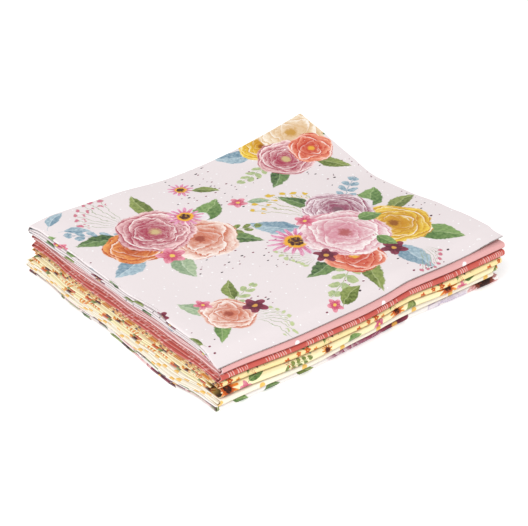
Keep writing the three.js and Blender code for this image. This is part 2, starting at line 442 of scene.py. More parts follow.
        def lie(level: int, outer_rise: float, to_near: bool) -> None:
            """Adds a flat pass.

            Args:
                level: which one, counted up from 0.
                outer_rise: 1 where the strip's outer side faces up there, or 0.
                to_near: whether it runs toward the end with the outer bend.
            """
            runs = top_runs if level == PASSES - 1 else inner_runs
            opened = 1.0 if level in (1, 2) else 0.0
            for at in (reversed(runs) if to_near != self.turned else runs):
                section.append(tuple(Place(level, level, rise, rise, at=at, opened=opened)
                                     for rise in (outer_rise, 1 - outer_rise)))

        def bend(edge: Edge, tip: float, reach: float, start: int, stop: int, outside: bool,
                 opened: float, steps: int) -> None:
            """Adds a bend.

            Args:
                edge, tip: the end it is at, and how far in its tip is.
                reach: how far in from its tip it begins.
                start, stop: the passes that it joins.
                outside: whether its convex side is the strip's outer side.
                opened: share of the open roll that moves it in.
                steps: how many steps it is drawn with.
            """
            low, high = min(start, stop), max(start, stop)
            for i in range(steps + 1):
                angle = i / steps * math.pi
                share = (1 - math.cos(angle)) / 2
                up = share if start < stop else 1 - share
                flat = 1 - math.sin(angle)
                back = opened if opened else ROLL_SHARE * flat
                convex = Place(low, high, 0, 1, up, None, edge, tip + reach * flat, back)
                hollow = Place(low, high, 1, 0, up, None, edge, tip + STRIP + (reach - STRIP) * flat, back)
                section.append((convex, hollow) if outside else (hollow, convex))

        def free_end(level: int, outer_rise: float, off: float) -> None:
            """Adds a free end, with its pass, its outer side's rise and how far in it is."""
            section.append(tuple(Place(level, level, rise, rise, edge=Edge.FAR, off=off)
                                 for rise in (outer_rise, 1 - outer_rise)))

        free_end(3, 1, ends.top_end)
        lie(3, 1, True)
        bend(Edge.NEAR, 0, BEND_REACH, 3, 0, True, 0, BEND_STEPS)
        lie(0, 0, False)
        bend(Edge.FAR, ends.far_bend, FAR_BEND_REACH, 0, 1, True, 0, OTHER_BEND_STEPS)
        lie(1, 1, True)
        bend(Edge.NEAR, INNER_BEND_TIP, INNER_BEND_REACH, 1, 2, False, 1, OTHER_BEND_STEPS)
        lie(2, 0, False)
        free_end(2, 0, ends.inner_end)
        return section

    def ply_section(self) -> list[Turn]:
        """The four plies of the strip.

        Returns:
            Their points, from one selvedge to the other.
        """
        first, second, third, fourth = PLY_DEPTHS
        first_run, fold = (finer(ACROSS, EXTRA_ACROSS), TOP_FOLD) if self.turned else (ACROSS, FOLD)
        return [
            Turn(first, left=False, off=SELVEDGES_IN[0]),
            *[Turn(first, at) for at in reversed(first_run)],
            *nose(first, second, fold),
            *[Turn(second, at) for at in ACROSS],
            *nose(second, third, MIDDLE_FOLD, left=False),
            *[Turn(third, at) for at in reversed(ACROSS)],
            *nose(third, fourth, INNER_FOLD),
            *[Turn(fourth, at) for at in ACROSS],
            Turn(fourth, left=False, off=SELVEDGES_IN[1]),
        ]

    # -- the cloth -----------------------------------------------------------------------------

    def place_row(self, place: Place, turns: list[Turn], run: float) -> np.ndarray:
        """Points of one row of the cloth, on one side of the strip.

        Args:
            place: the row's point of the strip's section.
            turns: the plies' section.
            run: the row's distance along the yard.
        Returns:
            The points, in mm.
        """
        flat = np.array([turn.at is not None for turn in turns])
        at_left = np.array([turn.left for turn in turns])
        off = np.array([turn.off for turn in turns])
        station = np.array([turn.at if turn.at is not None else (0.0 if turn.left else LENGTH)
                            for turn in turns])
        opened = place.opened * self.opening(station)
        if place.at is not None:
            room = np.clip(1 - (place.at - ALONG[0]) / OPENED_RUN, 0, 1)
            y = np.full(len(turns), float(place.at)) + opened * room
        else:
            y = np.broadcast_to(self.end(place.edge, station, place.off + opened), station.shape)
        level = place.low + (place.high - place.low) * place.up
        left = self.left_edge(y)
        x = np.where(at_left, left + off + self.set_in(y, level, run), self.right_edge(y) - off)
        x = np.where(flat, station, x)
        low, high = (self.height_in(x, y, end, np.full(len(turns), float(rise)))
                     for end, rise in ((place.low, place.low_rise), (place.high, place.high_rise)))
        z = low + (high - low) * place.up
        if self.turned:     # the top pass rolls over the left edge
            past = np.clip(1 - (x - left) / ROLL_NOSE, 0, 1)
            upper = smooth(np.array(level), PASSES - 2, PASSES - 1)
            z = z - ROLL_DROP * past ** 2 * upper * smooth(y, *ROLL_SPAN)
        return np.column_stack([x, y, z])

    def grid(self) -> Grid:
        """Places every row of the cloth.

        Returns:
            The cloth's middle surface.
        """
        strip, turns = self.strip_section(), self.ply_section()
        depth = np.array([turn.depth for turn in turns])
        rows, runs, passes, run = [], [], [], 0.0
        middle = len(ACROSS) // 2   # the column along which the yard is measured
        for outer, inner in strip:
            under = self.place_row(inner, turns, run)
            row = under + (self.place_row(outer, turns, run) - under) * depth[:, None]
            if rows:
                run += float(np.linalg.norm(row[middle] - rows[-1][middle]))
            rows.append(row)
            runs.append(run)
            passes.append(outer.low if outer.low == outer.high else IN_BEND)
        points, along = np.array(rows), np.array(runs)
        steps = np.linalg.norm(np.diff(points[MEASURED_ROW], axis=0), axis=1)
        across = np.concatenate([[0], np.cumsum(steps)])
        fold = next(i for i, turn in enumerate(turns) if turn.at is None and turn.left) + FOLD[-1] // 2
        if not self.turned:
            along = along[passes.index(IN_BEND) + BEND_STEPS // 2] - along
        return Grid(points, across[fold] - across, along, np.array(passes))

    def build(self, corner: Vector) -> bpy.types.Object:
        """Makes the folded cloth as one thin closed mesh.

        Args:
            corner: the stack's nominal left front corner, in metres.
        Returns:
            The mesh object.
        """
        grid = self.grid()
        rows, columns = grid.points.shape[:2]
        outward = -grid.normals() if self.turned else grid.normals()
        sides = [grid.points + outward * PLY / 2, grid.points - outward * PLY / 2]
        verts = np.concatenate([side.reshape(-1, 3) for side in sides]) * MM + np.array(corner)
        count = rows * columns
        at = np.arange(count).reshape(rows, columns)
        quads = np.stack([at[:-1, :-1], at[:-1, 1:], at[1:, 1:], at[1:, :-1]], axis=-1).reshape(-1, 4)
        border = np.concatenate([at[0, :], at[1:, -1], at[-1, -2::-1], at[-2:0:-1, 0]])
        after = np.roll(border, -1)
        rim = np.stack([after, border, border + count, after + count], axis=-1)
        faces = np.concatenate([quads, quads[:, ::-1] + count, rim])
        if self.turned:
            faces = faces[:, ::-1]
        mesh = bpy.data.meshes.new(f"{self.name}_cloth")
        mesh.from_pydata(verts.tolist(), [], faces.tolist())
        self.add_maps(mesh, grid, len(border))
        self.add_shades(mesh, grid, outward)
        mesh.shade_smooth()
        mesh.set_sharp_from_angle(angle=math.radians(SHARP_ANGLE))
        mesh.update()
        piece = bpy.data.objects.new(self.name.replace("cut_", "yard_"), mesh)
        bpy.context.scene.collection.objects.link(piece)
        return piece

    # -- maps and shades -----------------------------------------------------------------------

    def add_maps(self, mesh: bpy.types.Mesh, grid: Grid, rim_length: int) -> None:
        """Adds the map of the cloth lying flat, in metres, and the one that colours are baked to.

        Args:
            mesh: the cloth's mesh.
            grid: its middle surface.
            rim_length: how many faces its rim has, which come last.
        """
        corners = np.empty(len(mesh.loops), np.int32)
        mesh.loops.foreach_get("vertex_index", corners)
        flat = np.stack(np.meshgrid(grid.across, grid.along), axis=-1).reshape(-1, 2) * MM
        share = np.stack(np.meshgrid(*self.bake_shares(grid)), axis=-1).reshape(-1, 2)
        right, back = share * (1, RIGHT_SIDE_TOP), share * (1, 1 - BACK_BASE) + (0, BACK_BASE)
        baked = np.concatenate([right, back])[corners]
        ends = np.arange(rim_length + 1) / rim_length
        places = np.stack([ends[1:], ends[:-1], ends[:-1], ends[1:]], axis=-1).ravel()
        baked[-len(places):] = np.column_stack([places, np.tile(np.repeat(RIM_BAND, 2), rim_length)])
        for name, spots in (("Cloth", np.concatenate([flat, flat])[corners]), ("OFBake", baked)):
            layer = mesh.uv_layers.new(name=name)
            layer.data.foreach_set("uv", spots.astype(np.float32).ravel())

    def bake_shares(self, grid: Grid) -> list[np.ndarray]:
        """Shares out the baked map, with most for the cloth in sight.

        Args:
            grid: the cloth's middle surface.
        Returns:
            The place in the map of each column and of each row, from 0 to 1.
        """
        shown, held = (TOP_SHOWN, TOP_SHARE) if self.turned else (EDGES_SHOWN, EDGES_SHARE)
        shares = []
        for places, (start, end) in zip((grid.across, grid.along), shown):
            middles = (places[1:] + places[:-1]) / 2
            in_sight = (middles > start) & (middles < end)
            steps = np.abs(np.diff(places)) + LEAST_WIDTH
            steps = np.where(in_sight, steps * held / steps[in_sight].sum(),
                             steps * (1 - held) / steps[~in_sight].sum())
            shares.append(np.concatenate([[0], np.cumsum(steps)]))
        return shares

    def add_shades(self, mesh: bpy.types.Mesh, grid: Grid, outward: np.ndarray) -> None:
        """Marks the wrong side, and the painted shade of each point where it lies folded in and little light
        reaches.

        Args:
            mesh: the cloth's mesh.
            grid: its middle surface.
            outward: direction of the printed side at each point.
        """
        downward = -outward[:, :, 2]
        depth = np.array([turn.depth for turn in self.ply_section()])
        # painted shade: in bends where the cloth faces down or lies deep in the strip, and at the left edge
        # where the plies face down
        bend_shade = np.maximum(smooth(downward, *BEND_SHADE_FACINGS), smooth(depth, *BEND_SHADE_DEPTHS))
        edge_shade = smooth(downward, self.shade_from, EDGE_SHADE_FACING)
        tucked = np.where((grid.passes == IN_BEND)[:, None], bend_shade, edge_shade)
        if self.open_roll:      # past 1, so that the roll's hollow takes a painted dark shade
            hollow = smooth(depth, *HOLLOW_SHADE_DEPTHS) * (1 - smooth(grid.points[:, :, 1], *HOLLOW_SHADE_SPAN))
            lining = np.isin(grid.passes, (IN_BEND, 0, PASSES - 1))
            tucked = np.where(lining[:, None], tucked + hollow, tucked)
        wrong_side = np.repeat([0.0, 1.0], tucked.size)
        for name, values in (("wrong_side", wrong_side), ("tucked", np.tile(tucked.ravel(), 2))):
            mesh.attributes.new(name, "FLOAT", "POINT").data.foreach_set("value", values)


# ---------------------------------------------------------------------------------------------
# Nodes
# ---------------------------------------------------------------------------------------------

Socket = bpy.types.NodeSocket

OPERATORS = {ast.Add: "ADD", ast.Sub: "SUBTRACT", ast.Mult: "MULTIPLY", ast.Div: "DIVIDE",
             ast.Pow: "POWER", ast.Mod: "FLOORED_MODULO"}
OPERATIONS = {"sin": "SINE", "cos": "COSINE", "abs": "ABSOLUTE", "min": "MINIMUM", "max": "MAXIMUM",
              "floor": "FLOOR", "fract": "FRACT", "sqrt": "SQRT", "above": "GREATER_THAN",
              "below": "LESS_THAN", "angle": "ARCTAN2", "round": "ROUND"}


def linear(code: str) -> tuple[float, float, float, float]:
    """Linear colour of an sRGB hex value."""
    parts = [int(code[i:i + 2], 16) / 255 for i in (1, 3, 5)]
    return (*[p / 12.92 if p <= 0.04045 else ((p + 0.055) / 1.055) ** 2.4 for p in parts], 1.0)


def add_node(tree: bpy.types.NodeTree, kind: str, settings: dict | None = None,
             inputs: dict | None = None) -> bpy.types.Node:
    """Adds a node with its settings and links.

    Args:
        tree: the tree it goes in.
        kind: the node's type.
        settings: its properties.
        inputs: its inputs by name or place, each a socket to link or a value to set.
    Returns:
        The node.
    """
    node = tree.nodes.new(kind)
    for name, value in (settings or {}).items():
        setattr(node, name, value)
    for name, value in (inputs or {}).items():
        if isinstance(value, bpy.types.NodeSocket):
            tree.links.new(value, node.inputs[name])
        else:
            node.inputs[name].default_value = value
    return node


def work_out(tree: bpy.types.NodeTree, text: str, **known: float | Socket) -> dict:
    """Turns written sums, one to a line, into nodes.

    Args:
        tree: the tree they go in.
        text: lines such as "r = sqrt(x * x + y * y)"; fade(x, a, b) rises from 0 at a to 1 at b.
        known: what the names in the sums stand for.
    Returns:
        Every name, with its number or socket.
    """
    values = dict(known)

    def value_of(term: ast.expr) -> float | Socket:
        """Works out one term.

        Args:
            term: the term, as parsed.
        Returns:
            The number or socket that it comes to.
        """
        if isinstance(term, ast.Constant):
            return float(term.value)
        if isinstance(term, ast.Name):
            return values[term.id]
        if isinstance(term, ast.UnaryOp):
            return value_of(ast.BinOp(ast.Constant(0), ast.Sub(), term.operand))
        if isinstance(term, ast.BinOp):
            parts, operation = [value_of(term.left), value_of(term.right)], OPERATORS[type(term.op)]
        else:
            parts = [value_of(part) for part in term.args]
            if term.func.id == "fade":
                settings = {"interpolation_type": "SMOOTHSTEP", "clamp": False}
                node = add_node(tree, "ShaderNodeMapRange", settings,
                                dict(zip(("Value", "From Min", "From Max"), parts)))
                return node.outputs["Result"]
            operation = OPERATIONS[term.func.id]
        return add_node(tree, "ShaderNodeMath", {"operation": operation}, dict(enumerate(parts))).outputs[0]

    for line in ast.parse(textwrap.dedent(text)).body:
        values[line.targets[0].id] = value_of(line.value)
    return values


def blend(tree: bpy.types.NodeTree, under: Socket | tuple, over: Socket | tuple,
          amount: float | Socket, way: str = "MIX") -> Socket:
    """Lays one colour over another.

    Args:
        tree: the tree the node goes in.
        under, over: the two colours.
        amount: how much of the upper one shows, from 0 to 1.
        way: how they mix.
    Returns:
        The mixed colour.
    """
    node = add_node(tree, "ShaderNodeMix", {"data_type": "RGBA", "blend_type": way},
                    {0: amount, 6: under, 7: over})
    return node.outputs[2]


# ---------------------------------------------------------------------------------------------
# Printed motifs. Each is drawn about its own middle, at unit reach, by sums of px and py.
# ---------------------------------------------------------------------------------------------

# The renderer works out once whatever two motifs share and keeps it for both, and in a large repeat it
# runs out of room for that. So each motif's unevenness and middle (in mm) differ from the last one's
# by a trifle.
TRIFLE = 0.001

PLACING = """
    wave_x = wave_x * rough
    wave_y = wave_y * rough
    grain = grain * rough
    column = floor((x - middle_x) / repeat_x + 0.5)
    dx = (x - middle_x) - column * repeat_x
    dy = (y - middle_y - column * drop * repeat_y + repeat_y / 2) % repeat_y - repeat_y / 2
    px = (dx * cos(turn) + dy * sin(turn)) / reach + wave_x * waver
    py = (dy * cos(turn) - dx * sin(turn)) / reach + wave_y * waver
"""

DYE_PARTS = ("light", "deep", "heart", "eye")


@dataclass(frozen=True)
class Motif:
    """A printed motif.

    Args:
        name: what it is.
        sums: what it is drawn by.
        layers: what is painted in turn, each a colour and an amount.
        waver: how uneven its outline is.
    """

    name: str
    sums: str
    layers: tuple[tuple[str, str], ...]
    waver: float


class Kind(Enum):
    """Kinds of printed motif."""

    ROSETTE = Motif("rosette", """
        r = sqrt(px * px + py * py)
        a = angle(py, px)
        rim = 0.9 + 0.1 * abs(sin(a * 2.5 + shape))
        k = (r / rim) ** 0.72 * shape + wave_y * 0.2
        scallop = abs(sin(a * 1.5 + floor(k) * 2.1)) * 0.85 + sin(a * 3 + k * 1.3) * 0.12
        petal = fract(k + scallop + grain * 0.08)
        turned = 0.5 + 0.5 * sin(a * 2 + floor(k + scallop) * 2.6)
        body = petal ** 0.7 * (0.15 + 1.05 * r) + grain * 0.2 + wave_x * 0.3 + py * 0.15
        line = fade(petal, 0.17, 0.03) * (0.45 + 0.55 * turned)
        tip = fade(petal, 0.6, 0.92) * 0.75 * turned * fade(r, 0.12, 0.45)
        dim = fade(r + wave_x * 0.25, 0.7, 0.1) * 0.75 * fade(py, 0.6, -0.3)
        core = fade(r + grain * 0.05, 0.2, 0.08) * 0.85
        cover = fade(rim - r + grain * 0.015, 0.0, 0.05)
    """, (("light", "body"), ("#fffaf6", "tip"), ("deep", "line"), ("deep", "dim"), ("heart", "core")),
                    0.06)

    DAISY = Motif("daisy", """
        r = sqrt(px * px + py * py)
        a = angle(py, px)
        w = abs(sin(a * shape / 2))
        tip = 0.98 - 0.5 * w ** 3 + wave_x * 0.12 + 0.05 * sin(a * 5)
        body = fade(r, 0.3, 0.85) * 0.7 + 0.3 * sin(a * shape * 3 + grain * 3) + grain * 0.25
        gap = fade(w, 0.8, 1.0) * fade(r, 0.3, 0.55) * 0.75
        ring = fade(r + grain * 0.07, 0.5, 0.38) * wide
        core = fade(r + grain * 0.06, 0.33, 0.25)
        seed = core * fade(grain, 0.1, 0.4) * 0.5
        cover = fade(tip - r, 0.0, 0.06)
    """, (("light", "body"), ("deep", "gap"), ("heart", "ring"), ("eye", "core"), ("heart", "seed")), 0.06)

    BLOSSOM = Motif("blossom", """
        r = sqrt(px * px + py * py)
        a = angle(py, px)
        w = abs(sin(a * shape / 2))
        tip = 0.95 - 0.36 * w ** 2.4 + wave_x * 0.1
        body = fade(r, 0.15, 0.9) * 0.8 + grain * 0.3 + 0.16 * sin(a * shape * 2.5 + grain * 2)
        gap = fade(w, 0.85, 1.0) * 0.6 * fade(r, 0.95, 0.5)
        core = fade(r + grain * 0.04, 0.22, 0.13)
        cover = fade(tip - r, 0.0, 0.07) * wide
    """, (("light", "body"), ("deep", "gap"), ("heart", "core")), 0.1)

    LEAF = Motif("leaf", """
        ly = py + shape * (px * px - px)
        inside = min(max(px, 0), 1)
        half = 0.21 * wide * sin(3.1416 * inside ** 0.8)
        side = abs(ly)
        body = 0.1 + 0.4 * fade(ly, -0.03, 0.03) + 0.4 * px + 0.1 * sin((px - side * 0.9) * 34) + grain * 0.45
        rib = fade(side, 0.02, 0.004) * 0.5
        stem = fade(side, 0.018, 0.006) * above(px, -0.18) * below(px, 0.1) * 0.8
        cover = max(fade(half - side + grain * 0.01, 0.0, 0.03), stem)
    """, (("light", "body"), ("heart", "rib")), 0.05)

    SPRIG = Motif("sprig", """
        ly = py + shape * (px * px - px)
        lean = px * 5 - abs(ly) * 3.2
        leaf = fract(lean) - 0.5
        long = 0.15 * wide * sqrt(max(sin(3.1416 * px), 0))
        across = (abs(ly) - long * 0.55) / (long * 0.55 + 0.001)
        spot = sqrt(leaf * leaf * 6.5 + across * across)
        inside = above(px, 0) * below(px, 1)
        stem = fade(abs(ly), 0.012, 0.004) * 0.8
        body = 0.4 + grain * 0.6 + 0.3 * fade(across, -0.6, 0.6)
        cover = max(fade(spot, 1.0, 0.85), stem) * inside
    """, (("light", "body"),), 0.03)

    SPRAY = Motif("spray", """
        r = sqrt(px * px + py * py)
        q = angle(py, px) * 6.2 + wave_x * 0.12 + sin(r * 4 + shape) * 0.3
        ray = round(q)
        bent = abs(q - ray) * r / 6.2
        reaching = 0.74 + 0.26 * sin(ray * 12.9 + shape)
        dot = sqrt((r - reaching) ** 2 + bent * bent)
        pair = sqrt((r - reaching * 0.84) ** 2 + (bent - 0.07) ** 2)
        spots = max(fade(dot, 0.055 * wide, 0.03 * wide), fade(pair, 0.045 * wide, 0.025 * wide))
        stems = fade(bent, 0.012, 0.004) * below(r, reaching) * fade(r, 0.15, 0.5) * 0.7
        cover = max(spots, stems) * below(abs(ray), 3.5)
        body = spots + grain * 0.2
    """, (("light", "body"),), 0.05)


@dataclass(frozen=True)
class Dye:
    """Colours of one printed motif, as sRGB hex."""

    light: str
    deep: str
    heart: str = "#c9a23c"
    eye: str = "#4a1d1c"


@dataclass(frozen=True)
class Stamp:
    """One motif of a repeat.

    Args:
        kind, dye: its kind and its colours.
        x, y, reach: its middle, and how far it reaches from there, in mm.
        turn: how far it is turned, in degrees.
        shape, wide: what the kind's own sums make of them, such as the number of petals.
    """

    kind: Kind
    dye: Dye
    x: float
    y: float
    reach: float
    turn: float = 0.0
    shape: float = 5.0
    wide: float = 1.0


@dataclass(frozen=True)
class Repeat:
    """A printed repeat: its size in mm and how far each column drops, as a share of its height."""

    width: float
    height: float
    drop: float
    stamps: tuple[Stamp, ...]


def new_group(name: str, numbers: tuple, colours: tuple) -> tuple:
    """Starts a node group with its inputs and a colour output.

    Args:
        name: the group's name.
        numbers, colours: names of its inputs of each kind.
    Returns:
        The group's tree and its input node.
    """
    tree = bpy.data.node_groups.new(name, "ShaderNodeTree")
    for names, kind in ((numbers, "Float"), (colours, "Color")):
        for entry in names:
            tree.interface.new_socket(name=entry, in_out="INPUT", socket_type=f"NodeSocket{kind}")
    tree.interface.new_socket(name="Colour", in_out="OUTPUT", socket_type="NodeSocketColor")
    return tree, add_node(tree, "NodeGroupInput")


PLACE_NUMBERS = ("x", "y", "wave_x", "wave_y", "grain", "rough", "middle_x", "middle_y", "turn", "reach",
                 "repeat_x", "repeat_y", "drop", "shape", "wide")


def motif_group(motif: Motif) -> bpy.types.NodeTree:
    """Makes the node group that paints a motif, or finds it where it is made already.

    Args:
        motif: the motif.
    Returns:
        The group's tree.
    """
    if motif.name in bpy.data.node_groups:
        return bpy.data.node_groups[motif.name]
    tree, given = new_group(motif.name, PLACE_NUMBERS, ("under", *DYE_PARTS))
    known = {name: given.outputs[name] for name in PLACE_NUMBERS}
    values = work_out(tree, PLACING, waver=motif.waver, **known)
    values = work_out(tree, motif.sums, **values)
    colour = given.outputs["deep"]
    for paint, amount in motif.layers:
        over = linear(paint) if paint.startswith("#") else given.outputs[paint]
        colour = blend(tree, colour, over, values[amount])
    colour = blend(tree, given.outputs["under"], colour, values["cover"])
    add_node(tree, "NodeGroupOutput", inputs={"Colour": colour})
    return tree


@dataclass
class Cloth:
    """What a print is drawn with: the tree, cloth coordinates in mm and shared unevenness."""

    tree: bpy.types.NodeTree
    x: Socket
    y: Socket
    wave_x: Socket
    wave_y: Socket
    grain: Socket
    tone: Socket          # slow unevenness, about -1 to 1
    metres: Socket        # the coordinates as one point, in metres

    def stamp(self, under: Socket | tuple, repeat: Repeat) -> Socket:
        """Paints every motif of a repeat over a colour.

        Args:
            under: the colour under them.
            repeat: the repeat.
        Returns:
            The colour with the motifs.
        """
        colour = under
        for i, mark in enumerate(repeat.stamps):
            trifle = i * TRIFLE
            inputs = {
                **{name: getattr(self, name) for name in ("x", "y", "wave_x", "wave_y", "grain")},
                "rough": 1 + trifle, "middle_x": mark.x + trifle, "middle_y": mark.y + trifle,
                "turn": math.radians(mark.turn), "reach": mark.reach, "repeat_x": repeat.width,
                "repeat_y": repeat.height, "drop": repeat.drop, "shape": mark.shape,
                "wide": mark.wide, "under": colour,
                **{part: linear(getattr(mark.dye, part)) for part in DYE_PARTS},
            }
            group = motif_group(mark.kind.value)
            node = add_node(self.tree, "ShaderNodeGroup", {"node_tree": group}, inputs)
            colour = node.outputs["Colour"]
        return colour

    def scatter(self, under: Socket | tuple, spacing: float, size: float, share: float,
                colour: str, long: float = 1.0, shift: float = 0.0, gathered: bool = False) -> Socket:
        """Paints loose specks over a colour.

        Args:
            under: the colour under them.
            spacing, size: their mean spacing and their radius, in mm.
            share: share of the places that hold one.
            colour: their colour, as sRGB hex.
            long: how many times longer than wide they are.
            shift: moves the specks, so that two sets differ.
            gathered: whether they gather in loose drifts.
        Returns:
            The colour with the specks.
        """
        spot = add_node(self.tree, "ShaderNodeMapping", inputs={
            "Vector": self.metres, "Location": (shift, shift, 0),
            "Scale": (1 / long / MM, 1 / MM, 1)}).outputs[0]
        cells = add_node(self.tree, "ShaderNodeTexVoronoi", {"voronoi_dimensions": "2D"},
                         {"Vector": spot, "Scale": 1 / spacing, "Randomness": 0.85})
        parts = add_node(self.tree, "ShaderNodeSeparateColor", inputs={0: cells.outputs["Color"]})
        values = work_out(self.tree, """
            r = size * (0.6 + 0.6 * lot_b)
            drift = max(1 - gathered, fade(tone, 0.0, 0.35))
            amount = fade(distance, r, r * 0.6) * below(lot, share * drift)
        """, distance=cells.outputs["Distance"], lot=parts.outputs[0], lot_b=parts.outputs[1],
            tone=self.tone, gathered=float(gathered), size=size / spacing, share=share)
        return blend(self.tree, under, linear(colour), values["amount"])


# ---------------------------------------------------------------------------------------------
# Prints. Quilting cotton is a plain weave of about 30 threads to the centimetre with its colours
# printed on one side: matt, soft, and painted a little paler along the folds, for dye that rubbing takes off
# and for a painted highlight.
# ---------------------------------------------------------------------------------------------

PIN_WHITE, SPECK_WINE, SPECK_DARK = "#ffffff", "#7d2c46", "#33202a"
RUBBED_AND_LIT, DULLED = "#ffffff", "#8d8484"       # paler fold, for dye that rubbing takes off and a painted highlight; and the slow unevenness of dyeing
HOLLOW_SHADE = "#2b1a10"                     # painted shade of the cloth deep in an open roll, where no light reaches

LEAF_GREEN = Dye("#8fae6a", "#4d7138", "#b9cc96")
OLIVE = Dye("#9aa860", "#56672c", "#c6cf96")
DARK_GREEN = Dye("#7d9a5e", "#2f4d2c", "#b0c49a")
DUSTY_BLUE = Dye("#b6cbd4", "#6a8ba0", "#dbe6ea")
SAGE = Dye("#b5c7a4", "#7f9a78", "#dbe5cf")
SEEDHEAD = Dye("#c3cf98", "#9aad7c")
BERRY = Dye("#e2b93c", "#9aa65a")
PINK_BERRY = Dye("#d4788e", "#9cab86")
RED_BERRY = Dye("#c93f2c", "#8a9d4e")

BLUSH = Dye("#fdf1f0", "#d68a9b", "#b0524e")
CORAL = Dye("#f5a283", "#c8432f", "#f0b940")
GOLD = Dye("#f9d94f", "#c98a14", "#8d4a14")
PLUM = Dye("#f5e4ea", "#93405f", "#7d5a64")
ROSE = Dye("#f7d0d0", "#a93650", "#d8c48a")
AMBER = Dye("#f3a356", "#bb4b1d", "#6d3a12")
PEACH = Dye("#fde8dc", "#cf7457", "#9c3f2c")
CREAM = Dye("#fdf1dc", "#dfb98a", "#c79334")
LILAC = Dye("#efe8f0", "#c9bcd2", "#a98c50")
GAILLARDIA = Dye("#efb4cf", "#cf5f8b", "#f3b32b", "#46191b")
PINK_DAISY = Dye("#f7d6d6", "#c98080", "#7a3a2a", "#2e1712")
WINE = Dye("#9b4258", "#5f1d31", "#d9a04a")
DARK_WINE = Dye("#6d3340", "#33141c", "#8d5a4a")
PINKS = Dye("#f2a9b8", "#c94c6c", "#f0c860")
MIST = Dye("#f8f3f4", "#dccbd3", "#c9b06a")
SUNFLOWER = Dye("#f8b04a", "#d9601c", "#c0521a", "#3a1a12")
EMBER = Dye("#ef8a3c", "#b8361c", "#f2c64e")
MARIGOLD = Dye("#f6b650", "#d06a22", "#6e3214")

LEAF, SPRIG, SPRAY = Kind.LEAF, Kind.SPRIG, Kind.SPRAY
ROSE_HEAD, DAISY, BLOSSOM = Kind.ROSETTE, Kind.DAISY, Kind.BLOSSOM

